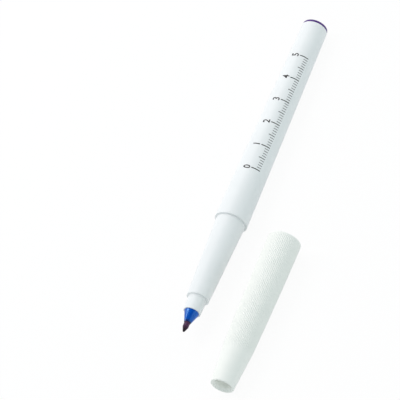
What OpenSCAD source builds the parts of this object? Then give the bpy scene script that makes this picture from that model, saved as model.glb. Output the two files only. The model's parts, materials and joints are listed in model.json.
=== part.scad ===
// Surgical skin marker lying on a table with its cap taken off and laid beside it.
// The nib points to -X, the rear end to +X, and the cap lies on the -Y side.
// Sizes are in millimetres. Every piece is turned about its own Z axis and then laid down.

/* [Barrel] */
// Length of the barrel from the shoulder to the rear rim
barrel_len = 85.5; // [70:0.5:100]
// Diameter of the barrel at the shoulder
shoulder_d = 11.6; // [11:0.1:13]
// Diameter of the barrel at the rear rim
rear_d = 9.2; // [8.6:0.1:10.4]
// Thickness of the barrel wall
barrel_wall = 1.0; // [0.8:0.05:1.2]
// Rounding of the moulded outer edges
edge_r = 0.3; // [0.1:0.05:0.45]

/* [Front section] */
// Length of the tapered section that the cap slides over
section_len = 31.9; // [26:0.1:38]
// Step down from the shoulder to the root of the section
section_step = 0.7; // [0.6:0.05:0.9]
// Length of the nose in front of the section
nose_len = 5.4; // [4:0.1:8]
// Wall of the nose at its front rim
nose_wall = 0.42; // [0.35:0.01:0.6]
// How much wider the nose is at its root than at its rim, on the radius
nose_draft = 0.2; // [0.05:0.05:0.4]
// Step down from the tip of the section to the root of the nose
nose_step = 0.7; // [0.4:0.05:0.9]
// Length of the spigot that plugs into the barrel
spigot_len = 12; // [8:0.5:20]

/* [Nib holder] */
// Length of the cone that shows in front of the nose
cone_len = 4.2; // [3:0.1:6]
// Diameter of the cone at its base
cone_base_d = 5.1; // [4.6:0.1:5.4]
// Wall of the cone round the nib at its front rim
cone_lip = 0.12; // [0.08:0.01:0.5]
// How far the inner flange stands out from the stem
flange_lip = 0.65; // [0.4:0.05:0.8]
// Distance from the section's tip back to the seat of the flange
seat_back = 1; // [0.6:0.1:2]
// Thickness of the inner flange
flange_t = 1.5; // [1:0.1:3]
// Wall of the sleeve that carries the nib to the reservoir
sleeve_wall = 0.7; // [0.4:0.05:1]
// Number of air grooves along the stem
vent_count = 4; // [2:1:8]
// Width of an air groove
vent_w = 0.6; // [0.3:0.05:0.9]
// Depth of an air groove
vent_depth = 0.35; // [0.2:0.05:0.5]

/* [Nib] */
// Diameter of the fibre nib
nib_d = 2.0; // [1.4:0.1:2.4]
// Length of nib that shows in front of the cone
nib_reach = 3.6; // [3:0.05:6]
// Length of the pointed end of the nib
point_len = 1.9; // [1:0.1:2.8]
// Radius of the blunt tip
tip_r = 0.28; // [0.15:0.01:0.4]
// Depth that the tail of the nib bites into the reservoir
nib_bite = 8; // [4:0.5:14]

/* [Reservoir] */
// Distance that the reservoir reaches into the section, from the shoulder
reservoir_inset = 14; // [8:0.5:18]
// Thickness of the film wrapped round the fibre
film_t = 0.12; // [0.08:0.01:0.25]
// Outer diameter of the breather tube
breather_d = 1.1; // [0.8:0.1:1.6]
// Bore of the breather tube
breather_bore = 0.6; // [0.3:0.05:0.7]
// Distance that the breather tube stops short of each end of the reservoir
breather_short = 2; // [1:0.5:6]

/* [End plug] */
// Thickness of the plug's flange behind the barrel
plug_flange_t = 1.0; // [0.7:0.05:2]
// How far the flange stays inside the rim of the barrel
plug_inset = 0.1; // [0:0.05:0.3]
// Length of the plug's stem inside the barrel
plug_stem_len = 6; // [4:0.5:10]
// Wall of the hollow stem
plug_wall = 0.9; // [0.6:0.05:1.2]
// Rounding of the flange's rear edge
plug_edge_r = 0.45; // [0.2:0.05:0.6]

/* [Cap] */
// Wall of the cap at its mouth, over the ribs
cap_mouth_wall = 0.58; // [0.5:0.01:0.9]
// Length of the plain round land inside the mouth
land_len = 6; // [3:0.5:10]
// Lead-in chamfer of the mouth
mouth_chamfer = 0.25; // [0.1:0.05:0.3]
// How far the ribbed side draws in from the mouth to the tail, on the radius
cap_bow = 0.62; // [0.4:0.01:0.8]
// Length of the smooth tail behind the ribs
tail_len = 15; // [12:0.5:20]
// Thickness of the wall that closes the cap
cap_floor_t = 1.2; // [0.8:0.1:2]
// Length of the hollow core behind the seal
core_len = 6.25; // [4:0.05:9]
// Wall of the tail round the end of the core
core_wall = 1.4; // [1:0.05:1.8]
// Ledge at the start of the core, which the end of the seal stops on
core_ledge = 0.45; // [0.3:0.05:0.7]
// Diameter of the blind hole in the end of the tail
hole_d = 5.7; // [4.5:0.1:6]
// Depth of the blind hole
hole_depth = 3.5; // [2:0.1:6]
// Width of the countersink round the hole, on the radius
sink_w = 0.75; // [0.3:0.05:1]
// Depth of the countersink
sink_depth = 1.0; // [0.2:0.05:1.5]
// Flat rim of the tail round the countersink
end_rim = 0.45; // [0.45:0.05:1]
// Number of grip ribs round the cap
rib_count = 60; // [36:1:72]
// Height of a rib above the groove beside it
rib_depth = 0.12; // [0.08:0.01:0.2]
// Length over which the grooves run out on the tail
run_out = 3.5; // [2:0.5:8]
// Share of the pitch that a rib's crest takes
rib_share = 0.5; // [0.35:0.05:0.65]
// Plain collar at the mouth, before the ribs start
collar_len = 0.6; // [0.4:0.1:2]

/* [Cap seal] */
// Wall of the soft seal that grips the nose
seal_wall = 0.6; // [0.4:0.05:0.8]
// Free space in front of the nib when the cap is on
nib_room = 1.2; // [0.6:0.1:3]
// Thickness of the closed end of the seal
seal_end_t = 0.75; // [0.5:0.05:1.5]
// Gap between the section's tip and the seal when the cap is on
seal_gap = 0.4; // [0.2:0.05:1]

/* [Fits] */
// Gap of a pressed joint, on the radius
press_gap = 0.02; // [0.01:0.01:0.05]
// Gap of the cap's mouth on the root of the section, on the radius
slide_gap = 0.07; // [0.03:0.01:0.15]
// Gap of the seal on the nose, on the radius
seal_fit = 0.03; // [0.01:0.01:0.08]
// Gap round the reservoir in its bores, on the radius
reservoir_gap = 0.1; // [0.05:0.01:0.2]
// Gap inside the cap round the tip of the section
cap_clear = 0.4; // [0.3:0.05:0.6]
// Gap inside the seal round the cone and the nib
cone_clear = 0.3; // [0.1:0.05:0.4]

/* [Layout] */
// Distance from the marker's axis to the mouth of the cap, side by side on the table
cap_apart = 21.35; // [16:0.05:40]
// Distance from the shoulder to the mouth of the cap, towards the nib
cap_ahead = 3.9; // [-20:0.1:40]
// Angle by which the loose cap lies turned, its tail towards the nib
cap_turn = 1.45; // [0:0.05:3]
// Distance from the mouth of the cap to the point where it touches the table
cap_contact = 26; // [15:1:35]

/* [Hidden] */
$fn = 48;

// Length by which a cutting tool runs past a face
cut = 1;

// Colours
WHITE = "#eef2f0";
CAP_WHITE = "#edf0ec";
BLUE = "#1450b8";
PURPLE = "#7c58a8";
INK = "#2a1732";
FIBRE = "#6a4a86";
CLEAR = "#dfe4ea";
SEAL = "#f6f6ee";

// Barrel: z = 0 at the shoulder, z grows towards the rear
shoulder_r = shoulder_d/2;
rear_r = rear_d/2;
taper_run = barrel_len - 2*edge_r;
taper = (shoulder_r - rear_r)/taper_run;
function barrel_r(z) = shoulder_r - (z - edge_r)*taper;
function bore_r(z) = barrel_r(z) - barrel_wall;

// Nib and nib holder, all in front of the shoulder, so at negative z
nib_r = nib_d/2;
section_tip_z = -section_len;
cone_base_z = section_tip_z - nose_len;
cone_tip_z = cone_base_z - cone_len;
nib_tip_z = cone_tip_z - nib_reach;
cone_base_r = cone_base_d/2;
cone_tip_r = nib_r + press_gap + cone_lip;
flange_seat_z = section_tip_z + seat_back;
flange_r = cone_base_r + flange_lip;
sleeve_r = nib_r + press_gap + sleeve_wall;

// Front section
nose_bore_r = cone_base_r + press_gap;
nose_tip_r = nose_bore_r + nose_wall;
nose_root_r = nose_tip_r + nose_draft;
section_tip_r = nose_root_r + nose_step;
section_root_r = shoulder_r - section_step;
flange_bore_r = flange_r + press_gap;

// Reservoir
film_r = bore_r(barrel_len) - reservoir_gap;
fibre_r = film_r - film_t;
reservoir_bore_r = film_r + reservoir_gap;
reservoir_front_z = -reservoir_inset;
reservoir_rear_z = barrel_len - plug_stem_len - reservoir_gap;
breather_r = breather_d/2;
breather_place = fibre_r - breather_r - press_gap;

// End plug
plug_r = rear_r - plug_inset;
plug_stem_r = bore_r(barrel_len) - press_gap;

// Cap: d = 0 at the mouth, d grows towards the closed end
cap_bore_r = section_root_r + slide_gap;
mouth_r = cap_bore_r + cap_mouth_wall;
seal_front = section_len + seal_gap;
seal_chamber = -nib_tip_z + nib_room;
pocket_floor = seal_chamber + seal_end_t + press_gap;
core_end = pocket_floor + core_len;
hole_floor = core_end + cap_floor_t;
cap_len = hole_floor + hole_depth;
rib_end = cap_len - tail_len;
bow_r = (rib_end*rib_end + cap_bow*cap_bow)/(2*cap_bow);
sink_r = hole_d/2 + sink_w;
tail_end_r = sink_r + end_rim;
seal_r = nose_root_r + seal_fit + seal_wall;
pocket_r = seal_r + press_gap;
inner_end_r = section_tip_r + cap_clear;
chamber_r = cone_base_r + cone_clear;
rib_pitch = 360/rib_count;
tail_start_r = mouth_r - cap_bow;
function tail_r(d) = tail_start_r - (tail_start_r - tail_end_r)*(d - rib_end)/tail_len;
core_r = pocket_r - core_ledge;
core_end_r = tail_r(core_end) - core_wall;

// Attitude on the table: the barrel lies along one straight line of its taper,
// and the cap touches at one point of its bowed side
pen_tilt = atan(taper);
pen_height = (shoulder_r + edge_r*taper)*cos(pen_tilt);
cap_tilt = asin(cap_contact/bow_r);
cap_height = bow_r - (bow_r - mouth_r)*cos(cap_tilt);
rear_z = barrel_len + plug_flange_t;
x_high = rear_z*cos(pen_tilt) + (plug_r - plug_edge_r)*sin(pen_tilt);
tail_swing = (tail_end_r - edge_r)*norm([sin(cap_tilt), sin(cap_turn)]);
x_low = -cap_ahead - cap_len*cos(cap_tilt)*cos(cap_turn) - tail_swing;
mid_x = (x_high + x_low)/2;
mid_y = (shoulder_r - cap_apart - mouth_r)/2;

// Points of an arc about a centre, from one angle to another
function arc(centre, r, from, to, steps = 4) = [
    for (i = [0:steps])
        let (a = from + (to - from)*i/steps)
        [centre[0] + r*cos(a), centre[1] + r*sin(a)]
];

// Points of the cap's bowed side between two depths, sunk below the crest of the ribs
function bow(from, to, sunk, steps = 5) =
    arc([mouth_r - bow_r - sunk, 0], bow_r, asin(from/bow_r), asin(to/bow_r), steps);

// A solid turned about the Z axis from an outline of [radius, height] points
module turned(outline) {
    rotate_extrude()
        polygon(outline);
}

// Lays a pen piece down, shoulder over the origin of the layout
module pen_place() {
    translate([-mid_x, -mid_y, pen_height])
        rotate([0, 90 + pen_tilt, 0])
            children();
}

// Lays a cap piece down beside the pen, mouth towards the shoulder
module cap_place() {
    translate([-mid_x - cap_ahead, -mid_y - cap_apart, cap_height])
        rotate([0, -90 - cap_tilt, -cap_turn])
            children();
}

module barrel() {
    color(WHITE)
        pen_place()
            turned(concat(
                [[bore_r(0), 0]],
                arc([shoulder_r - edge_r, edge_r], edge_r, -90, 0),
                arc([rear_r - edge_r, barrel_len - edge_r], edge_r, 0, 90),
                [[bore_r(barrel_len), barrel_len]]
            ));
}

module front_section() {
    color(WHITE)
        pen_place()
            turned(concat(
                [[nose_bore_r, cone_base_z]],
                [[nose_tip_r - edge_r/2, cone_base_z]],
                [[nose_tip_r, cone_base_z + edge_r/2]],
                [[nose_root_r, section_tip_z]],
                arc([section_tip_r - edge_r, section_tip_z + edge_r], edge_r, -90, 0),
                [[section_root_r, 0]],
                [[bore_r(0) - press_gap, 0]],
                [[bore_r(spigot_len) - press_gap, spigot_len]],
                [[reservoir_bore_r, spigot_len]],
                [[reservoir_bore_r, reservoir_front_z]],
                [[flange_bore_r, reservoir_front_z - (reservoir_bore_r - flange_bore_r)]],
                [[flange_bore_r, flange_seat_z]],
                [[nose_bore_r, flange_seat_z]]
            ));
}

module nib_holder() {
    groove_len = flange_seat_z + flange_t - cone_base_z;
    color(BLUE)
        pen_place()
            difference() {
                turned([
                    [nib_r + press_gap, cone_tip_z],
                    [cone_tip_r, cone_tip_z],
                    [cone_base_r, cone_base_z - edge_r/2],
                    [cone_base_r, flange_seat_z],
                    [flange_r, flange_seat_z],
                    [flange_r, flange_seat_z + flange_t],
                    [sleeve_r, flange_seat_z + flange_t],
                    [sleeve_r, reservoir_front_z],
                    [nib_r + press_gap, reservoir_front_z]
                ]);
                for (i = [0:vent_count - 1])
                    rotate(i*360/vent_count)
                        translate([cone_base_r - vent_depth, -vent_w/2, cone_base_z + edge_r])
                            cube([flange_lip + 2*vent_depth, vent_w, groove_len]);
            }
}

module nib() {
    tail_z = reservoir_front_z + nib_bite;
    run = point_len - tip_r;
    flank = acos(tip_r/norm([nib_r, run])) - atan2(run, nib_r);
    color(INK)
        pen_place()
            turned(concat(
                arc([0, nib_tip_z + tip_r], tip_r, -90, -flank, 5),
                [[nib_r, nib_tip_z + point_len]],
                [[nib_r, tail_z - edge_r]],
                [[nib_r - edge_r, tail_z]],
                [[0, tail_z]]
            ));
}

module ink_reservoir() {
    hole_r = nib_r + press_gap;
    hole_end_z = reservoir_front_z + nib_bite + press_gap;
    groove_r = breather_r + press_gap;
    groove_len = reservoir_rear_z - reservoir_front_z + 2*cut;
    color(FIBRE)
        pen_place()
            difference() {
                turned([
                    [hole_r, reservoir_front_z],
                    [fibre_r, reservoir_front_z],
                    [fibre_r, reservoir_rear_z],
                    [0, reservoir_rear_z],
                    [0, hole_end_z],
                    [hole_r, hole_end_z]
                ]);
                translate([0, breather_place, reservoir_front_z - cut]) {
                    cylinder(r = groove_r, h = groove_len);
                    translate([-groove_r, 0, 0])
                        cube([2*groove_r, breather_r + cut, groove_len]);
                }
            }
}

module reservoir_film() {
    color(CLEAR)
        pen_place()
            turned([
                [fibre_r + press_gap, reservoir_front_z],
                [film_r, reservoir_front_z],
                [film_r, reservoir_rear_z],
                [fibre_r + press_gap, reservoir_rear_z]
            ]);
}

module breather_tube() {
    tube_len = reservoir_rear_z - reservoir_front_z - 2*breather_short;
    color(CLEAR)
        pen_place()
            translate([0, breather_place, reservoir_front_z + breather_short])
                turned([
                    [breather_bore/2, 0],
                    [breather_r, 0],
                    [breather_r, tube_len],
                    [breather_bore/2, tube_len]
                ]);
}

module end_plug() {
    stem_end_z = barrel_len - plug_stem_len;
    cup_r = plug_stem_r - plug_wall;
    color(PURPLE)
        pen_place()
            turned(concat(
                [[cup_r, stem_end_z]],
                [[plug_stem_r - edge_r, stem_end_z]],
                [[plug_stem_r, stem_end_z + edge_r]],
                [[plug_stem_r, barrel_len]],
                [[plug_r, barrel_len]],
                arc([plug_r - plug_edge_r, rear_z - plug_edge_r], plug_edge_r, 0, 90),
                [[0, rear_z]],
                [[0, barrel_len]],
                [[cup_r, barrel_len]]
            ));
}

// The cap before its grooves are cut, with its mouth, seal pocket, hollow core and end hole
module cap_blank() {
    turned(concat(
        [[cap_bore_r + mouth_chamfer, 0]],
        [[mouth_r - mouth_chamfer/2, 0]],
        bow(mouth_chamfer/2, rib_end, 0),
        arc([tail_end_r - edge_r, cap_len - edge_r], edge_r, 0, 90),
        [[sink_r, cap_len]],
        [[hole_d/2, cap_len - sink_depth]],
        [[hole_d/2, hole_floor]],
        [[0, hole_floor]],
        [[0, core_end]],
        [[core_end_r, core_end]],
        [[core_r, pocket_floor]],
        [[pocket_r, pocket_floor]],
        [[pocket_r, seal_front]],
        [[inner_end_r, seal_front]],
        [[cap_bore_r, land_len]],
        [[cap_bore_r, mouth_chamfer]]
    ));
}

// The space between two ribs: it starts at the collar, follows the bow and runs out on the tail
module cap_groove() {
    rotate_extrude(angle = (1 - rib_share)*rib_pitch)
        polygon(concat(
            bow(collar_len, rib_end, rib_depth),
            [[tail_r(rib_end + run_out) + press_gap, rib_end + run_out]],
            [[mouth_r + cut, rib_end + run_out]],
            [[mouth_r + cut, collar_len]]
        ));
}

module cap_shell() {
    color(CAP_WHITE)
        cap_place()
            difference() {
                cap_blank();
                for (i = [0:rib_count - 1])
                    rotate((i + rib_share/2)*rib_pitch)
                        cap_groove();
            }
}

module cap_seal() {
    grip_end = section_len + nose_len;
    lead_in = seal_wall/2;
    function grip_r(d) = nose_root_r - nose_draft*(d - section_len)/nose_len + seal_fit;
    color(SEAL)
        cap_place()
            turned([
                [grip_r(seal_front) + lead_in, seal_front],
                [seal_r, seal_front],
                [seal_r, seal_chamber + seal_end_t],
                [0, seal_chamber + seal_end_t],
                [0, seal_chamber],
                [chamber_r, seal_chamber],
                [chamber_r, grip_end],
                [grip_r(grip_end), grip_end],
                [grip_r(seal_front + lead_in), seal_front + lead_in]
            ]);
}

barrel();
front_section();
nib_holder();
nib();
ink_reservoir();
reservoir_film();
breather_tube();
end_plug();
cap_shell();
cap_seal();
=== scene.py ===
"""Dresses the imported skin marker: turned plastic, a ribbed cap, a fibre nib and a printed scale."""

import json
import math

import bpy
from mathutils import Matrix, Quaternion, Vector


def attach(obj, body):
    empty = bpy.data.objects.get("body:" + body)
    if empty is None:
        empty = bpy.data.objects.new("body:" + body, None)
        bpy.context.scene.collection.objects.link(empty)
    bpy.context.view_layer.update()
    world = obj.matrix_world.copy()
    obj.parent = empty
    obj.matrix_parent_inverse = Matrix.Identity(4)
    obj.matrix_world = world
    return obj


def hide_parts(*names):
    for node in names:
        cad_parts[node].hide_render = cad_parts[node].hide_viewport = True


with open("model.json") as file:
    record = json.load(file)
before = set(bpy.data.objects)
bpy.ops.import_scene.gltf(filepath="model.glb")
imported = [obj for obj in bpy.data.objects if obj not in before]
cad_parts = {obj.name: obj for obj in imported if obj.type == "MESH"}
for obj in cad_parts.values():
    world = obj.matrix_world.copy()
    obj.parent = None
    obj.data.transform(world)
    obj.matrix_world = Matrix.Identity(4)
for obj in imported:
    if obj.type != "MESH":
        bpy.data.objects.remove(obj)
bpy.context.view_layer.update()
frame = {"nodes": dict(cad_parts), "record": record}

# Sizes are in millimetres, and a length becomes metres where a mesh is drawn.
# A pen piece has z = 0 at the shoulder and z growing to the rear, a cap piece z = 0 at the mouth.
MM = 0.001
PRESS_GAP = 0.02
EDGE_R = 0.3

# Fineness of the meshes, with the angle in degrees up to which a surface is smooth
TURN_SIDES = 128
ARC_STEPS = 6
MERGE_DISTANCE = 0.001
SMOOTH_ANGLE = 35

# Barrel
BARREL_LEN = 85.5
SHOULDER_R = 5.8
REAR_R = 4.6
BARREL_WALL = 1.0

# Front section
SECTION_LEN = 31.9
SECTION_ROOT_R = 5.1
SECTION_TIP_R = 3.89
NOSE_LEN = 5.4
NOSE_ROOT_R = 3.19
NOSE_TIP_R = 2.99
NOSE_BORE_R = 2.57
NOSE_FILLET = 0.12
SPIGOT_LEN = 12.0
RESERVOIR_BORE_R = 3.596
RESERVOIR_FRONT = -14.0

# Nib holder
CONE_LEN = 4.2
CONE_BASE_R = 2.55
CONE_BASE_ROUND = 0.32
CONE_TIP_R = 1.14
LIP_GAP = 0.06
LIP_DEPTH = 0.5
# How far back from its lip the cone's blue is darkened
LIP_DARK_LEN = 0.9
FLANGE_SEAT = -30.9
FLANGE_T = 1.5
FLANGE_R = 3.2
SLEEVE_R = 1.72
VENT_COUNT = 4
VENT_W = 0.6
VENT_DEPTH = 0.35

# Nib
NIB_R = 1.0
NIB_REACH = 3.6
POINT_LEN = 1.9
TIP_R = 0.3
POINT_ROUND = 0.2
STRAND_DEPTH = 0.04
NIB_BITE = 8.0
NIB_RINGS = 6
# Two waves of flutes round the nib: how many, how strong, and the turn of the second
FLUTES = 17
FLUTE_SHARE = 0.28
FINE_FLUTES = 29
FINE_SHARE = 0.22
FINE_TURN = 1.3
# How far behind its point the nib starts to be soaked, and how far from its tip it is black
SOAK_START = 0.4
SOAK_FULL = 0.5

# End plug
PLUG_FLANGE_T = 1.0
PLUG_R = 4.5
PLUG_RIM_R = 0.12
PLUG_EDGE_R = 0.45
PLUG_STEM_LEN = 6.0
PLUG_STEM_R = 3.576
PLUG_CUP_R = 2.676
GATE_R = 0.8
GATE_DEPTH = 0.12
GATE_EDGE_R = 0.1

# Cap
CAP_LEN = 58.02
MOUTH_R = 5.75
CAP_BORE_R = 5.17
MOUTH_CHAMFER = 0.25
LAND_LEN = 6.0
CAP_BOW = 0.62
TAIL_LEN = 15.0
TAIL_END_R = 4.05
HOLE_R = 2.85
HOLE_DEPTH = 3.5
SINK_R = 3.6
SINK_DEPTH = 1.0
CAP_FLOOR_T = 1.2
CAP_GATE_R = 0.6
CAP_GATE_H = 0.12
CORE_R = 3.39
CORE_END_R = 2.9884
POCKET_FLOOR = 47.07
POCKET_R = 3.84
SEAL_FRONT = 32.3
INNER_END_R = 4.29
RIB_COUNT = 60
RIB_DEPTH = 0.12
COLLAR_LEN = 0.6
RUN_OUT = 3.5
GROOVE_LEAD = 0.36
# Shares of the pitch: the crest of a rib, and where its flank reaches the bottom of the groove
RIB_CREST = 0.3
GROOVE_FLANK = 0.45
# Sides of the mesh to a rib, and rings of points along the ribs' start, the bow and the run-out
SIDES_PER_RIB = 10
LEAD_RINGS = 3
BOW_RINGS = 12
RUN_OUT_RINGS = 6

# Cap seal
SEAL_R = 3.82
SEAL_CHAMBER = 46.3
SEAL_END_T = 0.75
CHAMBER_R = 2.85
GRIP_FRONT_R = 3.205
GRIP_END_R = 3.02
SEAL_EDGE_R = 0.1
SEAL_LEAD = 0.3

# Printed scale on the barrel
SCALE_START = 20.0
SCALE_LEN = 50
SCALE_TURN = 28.0
TICK_FOOT = -2.1
TICK_LENGTHS = {10: 3.2, 5: 2.3, 1: 1.5}
TICK_WIDTHS = {10: 0.34, 5: 0.26, 1: 0.2}
DIGIT_SIZE = 3.0
DIGIT_FOOT = 1.6
DIGIT_BOLD = 0.05
SLICE = 0.3
PRINT_LIFT = 0.01
PRINT_T = 0.012

# Camera, with angles in degrees, its lens and sensor in millimetres and other lengths in metres
VIEW_AZIMUTH = -50.491
VIEW_ELEVATION = 49.885
VIEW_ROLL = -23.725
VIEW_DISTANCE = 1.02369
VIEW_TARGET = (-0.001293, 0.027923, 0.0)
VIEW_LENS = 270
SENSOR_WIDTH = 36
VIEW_FAR = 20

# Light, in metres and watts: the ambient light from the front and the rear, then two softboxes
AMBIENT_COLOUR = (0.9, 1.008, 1.018, 1)
AMBIENT_FRONT = 0.58
AMBIENT_REAR = 0.88
SOFTBOX_COLOUR = (1.0, 0.885, 0.905)
SOFTBOX_DISTANCE = 0.7
KEY_WAY = (-0.05, 0.64, 0.766)
KEY_SIZE = (0.11, 0.5)
KEY_POWER = 1.27
SIDE_WAY = (0.48, 0.42, 0.77)
SIDE_SIZE = (0.28, 0.28)
SIDE_POWER = 0.99
# The ceiling is dim in reflections, above these sines of the elevation
CEILING = 0.05
CEILING_START = 0.5
CEILING_FULL = 0.75
# The floor, and how much of it is plain white to the camera
FLOOR_SIZE = 6
FLOOR_ROUGHNESS = 0.9
FLOOR_GLOW = 0.93

# Colours, as pairs of a light and a deep tone where a material varies
PEN_WHITE = (0.86, 0.875, 0.88), (0.835, 0.85, 0.855)
CAP_WHITE = (0.935, 0.939, 0.9), (0.915, 0.922, 0.884)
PLUG_PURPLE = (0.11, 0.045, 0.25), (0.08, 0.03, 0.19)
SEAL_NATURAL = (0.88, 0.88, 0.84), (0.84, 0.84, 0.8)
CONE_BLUE = (0.0, 0.09, 0.53), (0.0, 0.06, 0.43)
CONE_TINT = (0.31, 0.72, 1, 1)
# The dark colour that the cone's blue turns to at its lip
CONE_LIP_DARK = (0.012, 0.004, 0.035)
NIB_PALE = (0.195, 0.1, 0.21)
NIB_MIDDLE = (0.077, 0.022, 0.072)
NIB_DEEP = (0.022, 0.005, 0.024)
NIB_BLACK = (0.004, 0.002, 0.005)
FIBRE_DRY = (0.3, 0.18, 0.42), (0.12, 0.05, 0.22)
FIBRE_WET = (0.05, 0.015, 0.1)
FILM_CLEAR = (0.86, 0.88, 0.9), (0.76, 0.78, 0.83)
PRINT_BLACK = (0.022, 0.022, 0.024), (0.006, 0.006, 0.007)
FLOOR_WHITE = (0.93, 0.93, 0.93, 1)
# The range that noise mostly keeps to
NOISE_LOW = 0.3
NOISE_HIGH = 0.7
# How far the edge of a darkened band wanders, in millimetres, and how much of the colour it covers
DARK_EDGE_WANDER = 0.25
DARK_EDGE_COVER = 0.95

# Derived places along the axes
SECTION_TIP = -SECTION_LEN
CONE_BASE = SECTION_TIP - NOSE_LEN
CONE_TIP = CONE_BASE - CONE_LEN
NIB_TIP = CONE_TIP - NIB_REACH
NIB_TAIL = RESERVOIR_FRONT + NIB_BITE
PEN_REAR = BARREL_LEN + PLUG_FLANGE_T
RIB_END = CAP_LEN - TAIL_LEN
HOLE_FLOOR = CAP_LEN - HOLE_DEPTH
CORE_END = HOLE_FLOOR - CAP_FLOOR_T


def axis_frame(origin, along):
    """Matrix of a piece frame: z along the axis, x up from the table."""
    z = Vector(along).normalized()
    x = Vector((0, 0, 1))
    x = (x - z * x.dot(z)).normalized()
    y = z.cross(x)
    turn = Matrix((x, y, z)).transposed().to_4x4()
    return Matrix.Translation(origin) @ turn


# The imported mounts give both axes: the rear face of the pen, and the bore of the cap's mouth
mounts = {mount["name"]: mount for mount in frame["record"]["mounts"]}
rear_face = mounts["rear_face"]
rear_axis = Vector(rear_face["axis"])
PEN_FRAME = axis_frame(Vector(rear_face["pos_m"]) - rear_axis * PEN_REAR * MM, rear_axis)
cap_mouth = mounts["cap_mouth"]
mouth_axis = Vector(cap_mouth["axis"])
mouth_depth = MOUTH_CHAMFER + cap_mouth["dims"]["length_mm"] / 2
CAP_FRAME = axis_frame(Vector(cap_mouth["pos_m"]) + mouth_axis * mouth_depth * MM, -mouth_axis)


def barrel_radius(z):
    return SHOULDER_R - (SHOULDER_R - REAR_R) * z / BARREL_LEN


def fade(value, start, end):
    """0 before start, 1 after end, smooth between."""
    share = min(max((value - start) / (end - start), 0), 1)
    return share * share * (3 - 2 * share)


# Modelling helpers

def rounded(corners):
    """The points of a closed outline of (radius, z) corners; a third number rounds its corner."""
    points = []
    for i, corner in enumerate(corners):
        here = Vector(corner[:2])
        if len(corner) == 2:
            points.append(here)
            continue
        back = (Vector(corners[i - 1][:2]) - here).normalized()
        ahead = (Vector(corners[(i + 1) % len(corners)][:2]) - here).normalized()
        half = back.angle(ahead) / 2
        centre = here + (back + ahead).normalized() * corner[2] / math.sin(half)
        first = here + back * corner[2] / math.tan(half) - centre
        last = here + ahead * corner[2] / math.tan(half) - centre
        sweep = first.angle_signed(last)
        for step in range(ARC_STEPS + 1):
            spoke = first.copy()
            spoke.rotate(Matrix.Rotation(-sweep * step / ARC_STEPS, 2))
            points.append(centre + spoke)
    return points


def turned(name, outline, sides=TURN_SIDES):
    """A piece of revolution: its outline is drawn as a chain of edges, then spun round z."""
    bpy.ops.object.select_all(action="DESELECT")
    bpy.ops.mesh.primitive_plane_add(size=MM)
    piece = bpy.context.object
    piece.name = name
    piece.data.name = name
    bpy.ops.object.mode_set(mode="EDIT")
    bpy.ops.mesh.merge(type="CENTER")
    pen = Vector((0, 0, 0))
    for i, (radius, z) in enumerate([*outline, outline[0]]):
        target = Vector((radius, 0, z)) * MM
        if i == 0:
            bpy.ops.transform.translate(value=target - pen)
        else:
            bpy.ops.mesh.extrude_vertices_move(TRANSFORM_OT_translate={"value": target - pen})
        pen = target
    bpy.ops.mesh.select_all(action="SELECT")
    bpy.ops.mesh.spin(steps=sides, angle=2 * math.pi, center=(0, 0, 0), axis=(0, 0, 1))
    bpy.ops.mesh.select_all(action="SELECT")
    bpy.ops.mesh.remove_doubles(threshold=MERGE_DISTANCE * MM)
    bpy.ops.mesh.normals_make_consistent(inside=False)
    bpy.ops.object.mode_set(mode="OBJECT")
    return piece


def pick(piece):
    """Makes a piece the only selected and active object."""
    bpy.ops.object.select_all(action="DESELECT")
    piece.select_set(True)
    bpy.context.view_layer.objects.active = piece


def finish_modifier(piece, kind, **settings):
    """Adds a modifier with its settings and applies it."""
    pick(piece)
    modifier = piece.modifiers.new(kind.title(), kind)
    for key, value in settings.items():
        setattr(modifier, key, value)
    bpy.ops.object.modifier_apply(modifier=modifier.name)


def weight_group(piece, name, weight):
    """A vertex group whose weights come from each vertex's radius, angle and height."""
    group = piece.vertex_groups.new(name=name)
    for vertex in piece.data.vertices:
        x, y, z = vertex.co / MM
        amount = weight(math.hypot(x, y), math.atan2(y, x), z)
        if amount > 0:
            group.add([vertex.index], amount, "REPLACE")


def lay_down(piece, place):
    """Puts a finished piece where its frame says, with its place in its mesh."""
    pick(piece)
    piece.matrix_world = place
    bpy.ops.object.transform_apply(location=True, rotation=True, scale=True)
    bpy.ops.object.shade_smooth_by_angle(angle=math.radians(SMOOTH_ANGLE))
    finish_modifier(piece, "WEIGHTED_NORMAL", keep_sharp=True, weight=100)


def wear(piece, material):
    piece.data.materials.clear()
    piece.data.materials.append(material)


# Material helpers, of which add, join and spread take a world as well

def add(material, kind, **inputs):
    made = material.node_tree.nodes.new("ShaderNode" + kind)
    for name, value in inputs.items():
        made.inputs[name.replace("_", " ")].default_value = value
    return made


def join(material, source, target):
    material.node_tree.links.new(source, target)


def new_material(name, **shader_inputs):
    material = bpy.data.materials.new(name)
    material.use_nodes = True
    shader = material.node_tree.nodes["Principled BSDF"]
    for key, value in shader_inputs.items():
        shader.inputs[key.replace("_", " ")].default_value = value
    return material, shader


def own_millimetres(material, place, stretch=(1, 1, 1)):
    """Object coordinates turned into the piece's own frame, in millimetres times the stretch."""
    coordinates = add(material, "TexCoord")
    mapping = add(material, "Mapping")
    mapping.vector_type = "TEXTURE"
    mapping.inputs["Location"].default_value = place.translation
    mapping.inputs["Rotation"].default_value = place.to_euler()
    mapping.inputs["Scale"].default_value = [MM * amount for amount in stretch]
    join(material, coordinates.outputs["Object"], mapping.inputs["Vector"])
    return mapping.outputs["Vector"]


def grain(material, vector, scale, detail=3.0, roughness=0.5):
    noise = add(material, "TexNoise", Scale=scale, Detail=detail, Roughness=roughness)
    join(material, vector, noise.inputs["Vector"])
    return noise.outputs["Fac"]


def ramp(material, factor, *stops):
    """A colour ramp with (place, colour) stops."""
    made = add(material, "ValToRGB")
    join(material, factor, made.inputs["Fac"])
    elements = made.color_ramp.elements
    while len(elements) < len(stops):
        elements.new(0.5)
    for element, (place, colour) in zip(elements, stops):
        element.position = place
        element.color = (*colour, 1)
    return made.outputs["Color"]


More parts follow.
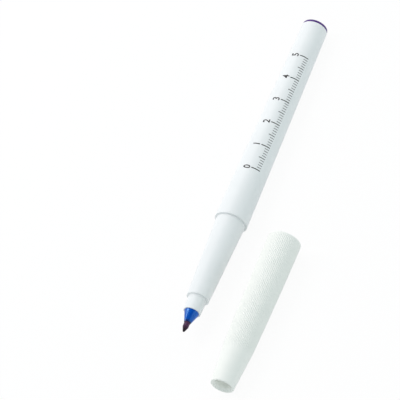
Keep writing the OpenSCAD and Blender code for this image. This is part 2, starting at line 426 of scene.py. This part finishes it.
def two_tones(material, noise, tones):
    """A light and a deep tone, mixed by noise."""
    light, deep = tones
    return ramp(material, noise, (NOISE_LOW, deep), (NOISE_HIGH, light))


def spread(material, value, low, high, from_low=NOISE_LOW, from_high=NOISE_HIGH):
    """A value that grows from low to high between two other values, or over the range of noise."""
    made = add(material, "MapRange", From_Min=from_low, From_Max=from_high, To_Min=low, To_Max=high)
    join(material, value, made.inputs["Value"])
    return made.outputs["Result"]


def bump(material, shader, height, strength, distance):
    """Bump of a distance in millimetres."""
    made = add(material, "Bump", Strength=strength, Distance=distance * MM)
    join(material, height, made.inputs["Height"])
    join(material, made.outputs["Normal"], shader.inputs["Normal"])


def mix_colours(material, factor, first, second):
    """A mix of a linked colour and a plain one, by a linked factor."""
    made = add(material, "Mix")
    made.data_type = "RGBA"
    join(material, factor, made.inputs[0])
    join(material, first, made.inputs[6])
    made.inputs[7].default_value = (*second, 1)
    return made.outputs[2]


def edge_stain(material, own, ragged, clear, full):
    """How strongly a piece is darkened, from none at one place along its axis to full at another,
    along a ragged edge.
    """
    along = add(material, "SeparateXYZ")
    join(material, own, along.inputs["Vector"])
    uneven = add(material, "Math")
    uneven.operation = "ADD"
    join(material, along.outputs["Z"], uneven.inputs[0])
    join(material, spread(material, ragged, -DARK_EDGE_WANDER, DARK_EDGE_WANDER), uneven.inputs[1])
    return spread(material, uneven.outputs["Value"], 0.0, DARK_EDGE_COVER, clear, full)


def moulded_plastic(name, place, tones, roughness, **shader_inputs):
    """Satin moulded plastic: cloudy tone, fine spark-eroded grain and faint lengthwise scuffs."""
    material, shader = new_material(name, **shader_inputs)
    own = own_millimetres(material, place)
    clouds = grain(material, own, scale=0.14, detail=4)
    join(material, two_tones(material, clouds, tones), shader.inputs["Base Color"])
    drawn_out = own_millimetres(material, place, stretch=(0.08, 0.08, 3))
    scuffs = grain(material, drawn_out, scale=0.35, detail=2)
    dull = spread(material, scuffs, roughness - 0.04, roughness + 0.06)
    join(material, dull, shader.inputs["Roughness"])
    bump(material, shader, grain(material, own, scale=7, detail=3), strength=0.1, distance=0.02)
    return material


def stained_cone(name, place):
    """Polished blue plastic with pigment drawn out along the flow, its colour darkened towards its
    lip.
    """
    material, shader = new_material(name, Specular_IOR_Level=1.0, Specular_Tint=CONE_TINT)
    own = own_millimetres(material, place)
    drawn_out = own_millimetres(material, place, stretch=(0.6, 0.6, 4))
    flow = grain(material, drawn_out, scale=1.2, detail=3)
    pigment = two_tones(material, flow, CONE_BLUE)
    marks = grain(material, own, scale=2.5, detail=4)
    # The blue is darkened towards the lip, where the nib comes out
    lip_dark = edge_stain(material, own, marks, CONE_TIP + LIP_DARK_LEN, CONE_TIP)
    join(material, mix_colours(material, lip_dark, pigment, CONE_LIP_DARK), shader.inputs["Base Color"])
    join(material, spread(material, marks, 0.14, 0.2), shader.inputs["Roughness"])
    bump(material, shader, marks, strength=0.03, distance=0.02)
    return material


def inked_fibre(name, place):
    """Strands of pressed fibre wet with ink, purple where it is thin and black at the tip."""
    material, shader = new_material(name, Specular_IOR_Level=0.25)
    own = own_millimetres(material, place)
    drawn_out = own_millimetres(material, place, stretch=(0.05, 0.05, 0.9))
    strands = grain(material, drawn_out, scale=0.8, detail=4, roughness=0.6)
    fibre = ramp(material, strands, (0.3, NIB_DEEP), (0.52, NIB_MIDDLE), (0.74, NIB_PALE))
    soak_start = NIB_TIP + POINT_LEN + SOAK_START
    soaked = edge_stain(material, own, strands, soak_start, NIB_TIP + SOAK_FULL)
    join(material, mix_colours(material, soaked, fibre, NIB_BLACK), shader.inputs["Base Color"])
    join(material, spread(material, strands, 0.3, 0.5), shader.inputs["Roughness"])
    bump(material, shader, strands, strength=0.5, distance=0.05)
    return material


def bonded_fibre(name, place):
    """Lengthwise bonded fibre, unevenly soaked with ink."""
    material, shader = new_material(name, Specular_IOR_Level=0.3)
    drawn_out = own_millimetres(material, place, stretch=(0.06, 0.06, 2))
    strands = grain(material, drawn_out, scale=0.8, detail=4, roughness=0.6)
    fibre = two_tones(material, strands, FIBRE_DRY)
    patches = grain(material, own_millimetres(material, place), scale=0.12, detail=2)
    wet = spread(material, patches, 0.0, 0.8)
    join(material, mix_colours(material, wet, fibre, FIBRE_WET), shader.inputs["Base Color"])
    join(material, spread(material, strands, 0.6, 0.85), shader.inputs["Roughness"])
    bump(material, shader, strands, strength=0.6, distance=0.05)
    return material


def clear_film(name, place):
    """Thin clear film with a slight haze and drawn lines along it."""
    material, shader = new_material(name, Transmission_Weight=0.85, IOR=1.45)
    drawn_out = own_millimetres(material, place, stretch=(0.1, 0.1, 6))
    lines = grain(material, drawn_out, scale=0.7, detail=3)
    join(material, two_tones(material, lines, FILM_CLEAR), shader.inputs["Base Color"])
    join(material, spread(material, lines, 0.12, 0.3), shader.inputs["Roughness"])
    bump(material, shader, lines, strength=0.1, distance=0.02)
    return material


def printed_ink(name, place):
    """Black pad-printed ink, thin and dull in places."""
    material, shader = new_material(name, Specular_IOR_Level=0.4)
    own = own_millimetres(material, place)
    cover = grain(material, own, scale=5, detail=4, roughness=0.6)
    light, deep = PRINT_BLACK
    join(material, ramp(material, cover, (0.3, deep), (0.72, light)), shader.inputs["Base Color"])
    pinholes = grain(material, own, scale=9, detail=2)
    join(material, spread(material, pinholes, 0.36, 0.55), shader.inputs["Roughness"])
    bump(material, shader, grain(material, own, scale=12, detail=2), strength=0.15, distance=0.01)
    return material


# Pieces

def make_barrel():
    return turned("barrel_shell", rounded([
        (barrel_radius(0) - BARREL_WALL, 0),
        (SHOULDER_R, 0, EDGE_R),
        (REAR_R, BARREL_LEN, EDGE_R),
        (REAR_R - BARREL_WALL, BARREL_LEN),
    ]))


def make_section():
    spigot_root_r = barrel_radius(0) - BARREL_WALL - PRESS_GAP
    spigot_tip_r = barrel_radius(SPIGOT_LEN) - BARREL_WALL - PRESS_GAP
    flange_bore_r = FLANGE_R + PRESS_GAP
    return turned("grip_section", rounded([
        (NOSE_BORE_R, CONE_BASE),
        (NOSE_TIP_R, CONE_BASE, EDGE_R / 2),
        (NOSE_ROOT_R, SECTION_TIP, NOSE_FILLET),
        (SECTION_TIP_R, SECTION_TIP, EDGE_R),
        (SECTION_ROOT_R, 0),
        (spigot_root_r, 0),
        (spigot_tip_r, SPIGOT_LEN),
        (RESERVOIR_BORE_R, SPIGOT_LEN),
        (RESERVOIR_BORE_R, RESERVOIR_FRONT),
        (flange_bore_r, RESERVOIR_FRONT - (RESERVOIR_BORE_R - flange_bore_r)),
        (flange_bore_r, FLANGE_SEAT),
        (NOSE_BORE_R, FLANGE_SEAT),
    ]))


def cut_vents(holder):
    """Air grooves along the stem and through the flange, each cut by a bar."""
    floor_r = CONE_BASE_R - VENT_DEPTH
    reach = FLANGE_R + VENT_DEPTH - floor_r
    start = CONE_BASE + EDGE_R
    length = FLANGE_SEAT + FLANGE_T - CONE_BASE
    middle = Vector((floor_r + reach / 2, 0, start + length / 2)) * MM
    for i in range(VENT_COUNT):
        bpy.ops.object.select_all(action="DESELECT")
        bpy.ops.mesh.primitive_cube_add(size=MM, enter_editmode=True)
        bpy.ops.transform.resize(value=(reach, VENT_W, length))
        bpy.ops.transform.translate(value=middle)
        turn = 2 * math.pi * i / VENT_COUNT
        bpy.ops.transform.rotate(value=turn, orient_axis="Z", center_override=(0, 0, 0))
        bpy.ops.object.mode_set(mode="OBJECT")
        bar = bpy.context.object
        finish_modifier(holder, "BOOLEAN", operation="DIFFERENCE", object=bar)
        bpy.data.objects.remove(bar)


def make_nib_holder():
    bore_r = NIB_R + PRESS_GAP
    holder = turned("nib_cone", rounded([
        (bore_r, CONE_TIP + LIP_DEPTH),
        (bore_r + LIP_GAP, CONE_TIP),
        (CONE_TIP_R, CONE_TIP, LIP_GAP / 2),
        (CONE_BASE_R, CONE_BASE - EDGE_R / 2, CONE_BASE_ROUND),
        (CONE_BASE_R, FLANGE_SEAT),
        (FLANGE_R, FLANGE_SEAT),
        (FLANGE_R, FLANGE_SEAT + FLANGE_T),
        (SLEEVE_R, FLANGE_SEAT + FLANGE_T),
        (SLEEVE_R, RESERVOIR_FRONT),
        (bore_r, RESERVOIR_FRONT),
    ]))
    cut_vents(holder)
    return holder


def strand_share(radius, angle, z):
    """Shallow flutes between the strands of fibre, on the part of the nib that shows."""
    coarse = FLUTE_SHARE * math.sin(FLUTES * angle)
    fine = FINE_SHARE * math.sin(FINE_FLUTES * angle + FINE_TURN)
    shows = 1 - fade(z, CONE_TIP - LIP_DEPTH, CONE_TIP)
    return (0.5 + coarse + fine) * shows * fade(radius, 0, TIP_R)


def make_nib():
    point_end = NIB_TIP + POINT_LEN
    point = []
    shank = []
    for step in range(1, NIB_RINGS):
        share = step / NIB_RINGS
        point.append((TIP_R + (NIB_R - TIP_R) * share, NIB_TIP + POINT_LEN * share))
        shank.append((NIB_R, point_end + (CONE_TIP - point_end) * share))
    nib = turned("fibre_nib", rounded([
        (0, NIB_TIP),
        (TIP_R, NIB_TIP, TIP_R / 2),
        *point,
        (NIB_R, point_end, POINT_ROUND),
        *shank,
        (NIB_R, CONE_TIP),
        (NIB_R, NIB_TAIL, EDGE_R),
        (0, NIB_TAIL),
    ]))
    weight_group(nib, "flutes", strand_share)
    finish_modifier(nib, "DISPLACE", vertex_group="flutes", mid_level=0,
                    strength=-STRAND_DEPTH * MM)
    return nib


def make_plug():
    stem_end = BARREL_LEN - PLUG_STEM_LEN
    return turned("rear_plug", rounded([
        (PLUG_CUP_R, stem_end),
        (PLUG_STEM_R, stem_end, EDGE_R),
        (PLUG_STEM_R, BARREL_LEN),
        (PLUG_R, BARREL_LEN, PLUG_RIM_R),
        (PLUG_R, PEN_REAR, PLUG_EDGE_R),
        (GATE_R, PEN_REAR, GATE_EDGE_R),
        (GATE_R - GATE_EDGE_R, PEN_REAR - GATE_DEPTH, GATE_EDGE_R / 2),
        (0, PEN_REAR - GATE_DEPTH),
        (0, BARREL_LEN),
        (PLUG_CUP_R, BARREL_LEN),
    ]))


def bow_radius(z):
    """Radius over the ribs at a depth from the mouth."""
    bow_r = (RIB_END ** 2 + CAP_BOW ** 2) / (2 * CAP_BOW)
    return MOUTH_R - bow_r + math.sqrt(bow_r ** 2 - z ** 2)


def groove_share(radius, angle, z):
    """How deep the groove between two ribs is at a point of the cap, from 0 to 1."""
    run_out_end = RIB_END + RUN_OUT
    outside = bow_radius(min(z, RIB_END)) - max(z - RIB_END, 0) / TAIL_LEN
    if radius < outside - 2 * RIB_DEPTH or z > run_out_end:
        return 0
    pitch = angle / (2 * math.pi) * RIB_COUNT
    from_crest = abs(pitch - round(pitch))
    starts = fade(z, COLLAR_LEN, COLLAR_LEN + GROOVE_LEAD)
    runs_out = min(1, (run_out_end - z) / RUN_OUT)
    return fade(from_crest, RIB_CREST / 2, GROOVE_FLANK) * starts * runs_out


def make_cap():
    """The cap is turned smooth, then the grooves between its ribs are pressed in."""
    lead = [COLLAR_LEN + GROOVE_LEAD * step / LEAD_RINGS for step in range(LEAD_RINGS + 1)]
    bow = [RIB_END * step / BOW_RINGS for step in range(1, BOW_RINGS + 1)]
    side = [(bow_radius(z), z) for z in lead + bow]
    drop = bow_radius(RIB_END) - TAIL_END_R
    for step in range(1, RUN_OUT_RINGS + 1):
        along = RUN_OUT * step / RUN_OUT_RINGS
        side.append((bow_radius(RIB_END) - drop * along / TAIL_LEN, RIB_END + along))
    cap = turned("ribbed_cap", rounded([
        (CAP_BORE_R + MOUTH_CHAMFER, 0),
        (MOUTH_R, 0, MOUTH_CHAMFER / 2),
        *side,
        (TAIL_END_R, CAP_LEN, EDGE_R),
        (SINK_R, CAP_LEN, EDGE_R / 3),
        (HOLE_R, CAP_LEN - SINK_DEPTH, EDGE_R / 3),
        (HOLE_R, HOLE_FLOOR, EDGE_R),
        (CAP_GATE_R, HOLE_FLOOR),
        (CAP_GATE_R, HOLE_FLOOR + CAP_GATE_H, CAP_GATE_H / 3),
        (0, HOLE_FLOOR + CAP_GATE_H),
        (0, CORE_END),
        (CORE_END_R, CORE_END),
        (CORE_R, POCKET_FLOOR),
        (POCKET_R, POCKET_FLOOR),
        (POCKET_R, SEAL_FRONT),
        (INNER_END_R, SEAL_FRONT),
        (CAP_BORE_R, LAND_LEN),
        (CAP_BORE_R, MOUTH_CHAMFER),
    ]), sides=RIB_COUNT * SIDES_PER_RIB)
    weight_group(cap, "grooves", groove_share)
    finish_modifier(cap, "DISPLACE", vertex_group="grooves", mid_level=0, strength=-RIB_DEPTH * MM)
    return cap


def make_seal():
    return turned("nib_seal", rounded([
        (GRIP_FRONT_R + SEAL_LEAD, SEAL_FRONT),
        (SEAL_R, SEAL_FRONT, SEAL_EDGE_R),
        (SEAL_R, SEAL_CHAMBER + SEAL_END_T),
        (0, SEAL_CHAMBER + SEAL_END_T),
        (0, SEAL_CHAMBER),
        (CHAMBER_R, SEAL_CHAMBER, EDGE_R),
        (CHAMBER_R, SECTION_LEN + NOSE_LEN),
        (GRIP_END_R, SECTION_LEN + NOSE_LEN),
        (GRIP_FRONT_R, SEAL_FRONT + SEAL_LEAD),
    ]))


def make_tick(mm):
    """One mark of the scale, drawn flat with its foot on the common line."""
    step = 10 if mm % 10 == 0 else 5 if mm % 5 == 0 else 1
    bpy.ops.object.select_all(action="DESELECT")
    bpy.ops.mesh.primitive_plane_add(size=MM, enter_editmode=True)
    bpy.ops.transform.resize(value=(TICK_WIDTHS[step], TICK_LENGTHS[step], 1))
    bpy.ops.transform.translate(value=Vector((mm, TICK_FOOT + TICK_LENGTHS[step] / 2, 0)) * MM)
    bpy.ops.object.mode_set(mode="OBJECT")
    return bpy.context.object


def make_number(value):
    """A plain number above its centimetre mark."""
    bpy.ops.object.select_all(action="DESELECT")
    bpy.ops.object.text_add(location=Vector((10 * value, DIGIT_FOOT, 0)) * MM)
    text = bpy.context.object.data
    text.body = str(value)
    text.size = DIGIT_SIZE * MM
    text.offset = DIGIT_BOLD * MM
    text.align_x = "CENTER"
    bpy.ops.object.convert(target="MESH")
    bpy.ops.object.transform_apply(location=True)
    return bpy.context.object


def make_scale(barrel):
    """Ticks and numbers are drawn flat, sliced across, pressed onto the barrel and thickened."""
    marks = [make_tick(mm) for mm in range(SCALE_LEN + 1)]
    marks += [make_number(cm) for cm in range(SCALE_LEN // 10 + 1)]
    pick(marks[0])
    for mark in marks:
        mark.select_set(True)
    bpy.ops.object.join()
    scale = bpy.context.object
    scale.name = "printed_scale"
    scale.data.name = "printed_scale"
    bpy.ops.object.mode_set(mode="EDIT")
    slices = math.ceil((DIGIT_FOOT + DIGIT_SIZE - TICK_FOOT) / SLICE)
    for step in range(1, slices):
        bpy.ops.mesh.select_all(action="SELECT")
        bpy.ops.mesh.bisect(plane_co=(0, (TICK_FOOT + step * SLICE) * MM, 0), plane_no=(0, 1, 0))
    bpy.ops.object.mode_set(mode="OBJECT")
    onto_barrel = Matrix(((0, 0, 1), (0, -1, 0), (1, 0, 0))).to_4x4()
    start = Vector((2 * SHOULDER_R, 0, SCALE_START)) * MM
    scale.matrix_world = Matrix.Translation(start) @ onto_barrel
    bpy.ops.object.transform_apply(location=True, rotation=True, scale=True)
    finish_modifier(scale, "SHRINKWRAP", target=barrel, wrap_method="PROJECT", use_project_x=True,
                    use_positive_direction=False, use_negative_direction=True,
                    offset=PRINT_LIFT * MM)
    finish_modifier(scale, "SOLIDIFY", thickness=PRINT_T * MM, offset=1)
    return scale


# Stage, light and camera

def white_to_camera(tree, plain, white, output):
    """Shows white to camera, glossy and transmission rays and the plain shader to all others."""
    path = tree.nodes.new("ShaderNodeLightPath")
    seen = path.outputs["Is Camera Ray"]
    for name in ("Is Glossy Ray", "Is Transmission Ray"):
        either = tree.nodes.new("ShaderNodeMath")
        either.operation = "MAXIMUM"
        tree.links.new(seen, either.inputs[0])
        tree.links.new(path.outputs[name], either.inputs[1])
        seen = either.outputs["Value"]
    mix = tree.nodes.new("ShaderNodeMixShader")
    tree.links.new(seen, mix.inputs["Fac"])
    tree.links.new(plain, mix.inputs[1])
    tree.links.new(white, mix.inputs[2])
    tree.links.new(mix.outputs["Shader"], output)


def make_world():
    world = bpy.data.worlds.new("studio")
    bpy.context.scene.world = world
    world.use_nodes = True
    tree = world.node_tree
    ambient = tree.nodes["Background"]
    ambient.inputs["Color"].default_value = AMBIENT_COLOUR
    white = tree.nodes.new("ShaderNodeBackground")
    white.inputs["Color"].default_value = (1, 1, 1, 1)
    direction = add(world, "TexCoord")
    way = add(world, "SeparateXYZ")
    join(world, direction.outputs["Generated"], way.inputs["Vector"])
    from_rear = spread(world, way.outputs["X"], AMBIENT_FRONT, AMBIENT_REAR, -1, 1)
    join(world, from_rear, ambient.inputs["Strength"])
    dimmed = spread(world, way.outputs["Z"], 1.0, CEILING, CEILING_START, CEILING_FULL)
    join(world, dimmed, white.inputs["Strength"])
    output = tree.nodes["World Output"].inputs["Surface"]
    white_to_camera(tree, ambient.outputs["Background"], white.outputs["Background"], output)


def make_floor():
    bpy.ops.object.select_all(action="DESELECT")
    bpy.ops.mesh.primitive_plane_add(size=FLOOR_SIZE)
    floor = bpy.context.object
    floor.name = "floor"
    material = bpy.data.materials.new("floor_white")
    material.use_nodes = True
    tree = material.node_tree
    shader = tree.nodes["Principled BSDF"]
    shader.inputs["Base Color"].default_value = FLOOR_WHITE
    shader.inputs["Roughness"].default_value = FLOOR_ROUGHNESS
    shader.inputs["Specular IOR Level"].default_value = 0
    glow = tree.nodes.new("ShaderNodeEmission")
    keeps_shadow = tree.nodes.new("ShaderNodeMixShader")
    keeps_shadow.inputs["Fac"].default_value = FLOOR_GLOW
    tree.links.new(shader.outputs["BSDF"], keeps_shadow.inputs[1])
    tree.links.new(glow.outputs["Emission"], keeps_shadow.inputs[2])
    output = tree.nodes["Material Output"].inputs["Surface"]
    white_to_camera(tree, shader.outputs["BSDF"], keeps_shadow.outputs["Shader"], output)
    floor.data.materials.append(material)


def make_softbox(name, way, size, power):
    """A soft light, wide and high as given, that faces the object from a direction."""
    bpy.ops.object.light_add(type="AREA")
    softbox = bpy.context.object
    softbox.name = name
    softbox.data.shape = "RECTANGLE"
    softbox.data.size, softbox.data.size_y = size
    softbox.data.color = SOFTBOX_COLOUR
    softbox.data.energy = power
    way = Vector(way).normalized()
    softbox.location = way * SOFTBOX_DISTANCE
    softbox.rotation_mode = "QUATERNION"
    softbox.rotation_quaternion = way.to_track_quat("Z", "Y")


def make_camera():
    bpy.ops.object.camera_add()
    camera = bpy.context.object
    camera.data.sensor_width = SENSOR_WIDTH
    camera.data.lens = VIEW_LENS
    camera.data.clip_end = VIEW_FAR
    azimuth = math.radians(VIEW_AZIMUTH)
    elevation = math.radians(VIEW_ELEVATION)
    level = math.cos(elevation)
    back = Vector((math.sin(azimuth) * level, -math.cos(azimuth) * level, math.sin(elevation)))
    camera.location = Vector(VIEW_TARGET) + back * VIEW_DISTANCE
    camera.rotation_mode = "QUATERNION"
    roll = Quaternion((0, 0, 1), math.radians(VIEW_ROLL))
    camera.rotation_quaternion = (-back).to_track_quat("-Z", "Y") @ roll
    bpy.context.scene.camera = camera


make_camera()
make_world()
make_floor()
make_softbox("key_light", KEY_WAY, KEY_SIZE, KEY_POWER)
make_softbox("side_light", SIDE_WAY, SIDE_SIZE, SIDE_POWER)

white = moulded_plastic("white_plastic", PEN_FRAME, PEN_WHITE, roughness=0.42,
                        Specular_IOR_Level=0.3)
cap_white = moulded_plastic("cap_plastic", CAP_FRAME, CAP_WHITE, roughness=0.42,
                            Specular_IOR_Level=0.2)
blue = stained_cone("blue_plastic", PEN_FRAME)
purple = moulded_plastic("purple_plastic", PEN_FRAME, PLUG_PURPLE, roughness=0.45,
                         Specular_IOR_Level=0.25)
natural = moulded_plastic("seal_plastic", CAP_FRAME, SEAL_NATURAL, roughness=0.5)
ink = inked_fibre("inked_fibre", PEN_FRAME)
black = printed_ink("print_ink", PEN_FRAME)

barrel = make_barrel()
scale = make_scale(barrel)
pen_pieces = [
    (barrel, white, "white_plastic", "barrel"),
    (make_section(), white, "white_plastic", "front_section"),
    (make_nib_holder(), blue, "blue_plastic", "nib_holder"),
    (make_nib(), ink, "inked_fibre", "nib"),
    (make_plug(), purple, "purple_plastic", "end_plug"),
]
cap_pieces = [
    (make_cap(), cap_white, "cap_plastic", "cap_shell"),
    (make_seal(), natural, "seal_plastic", "cap_seal"),
]
for body, place, pieces in (("pen", PEN_FRAME, pen_pieces), ("cap", CAP_FRAME, cap_pieces)):
    for piece, material, slot, node in pieces:
        lay_down(piece, place)
        wear(piece, material)
        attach(piece, body)
        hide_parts(node)
lay_down(scale, PEN_FRAME @ Matrix.Rotation(math.radians(SCALE_TURN), 4, "Z"))
wear(scale, black)
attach(scale, "pen")

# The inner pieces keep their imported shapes
film = clear_film("clear_film", PEN_FRAME)
wear(frame["nodes"]["ink_reservoir"], bonded_fibre("reservoir_fibre", PEN_FRAME))
wear(frame["nodes"]["reservoir_film"], film)
wear(frame["nodes"]["breather_tube"], film)

bpy.context.scene.view_settings.view_transform = "Standard"
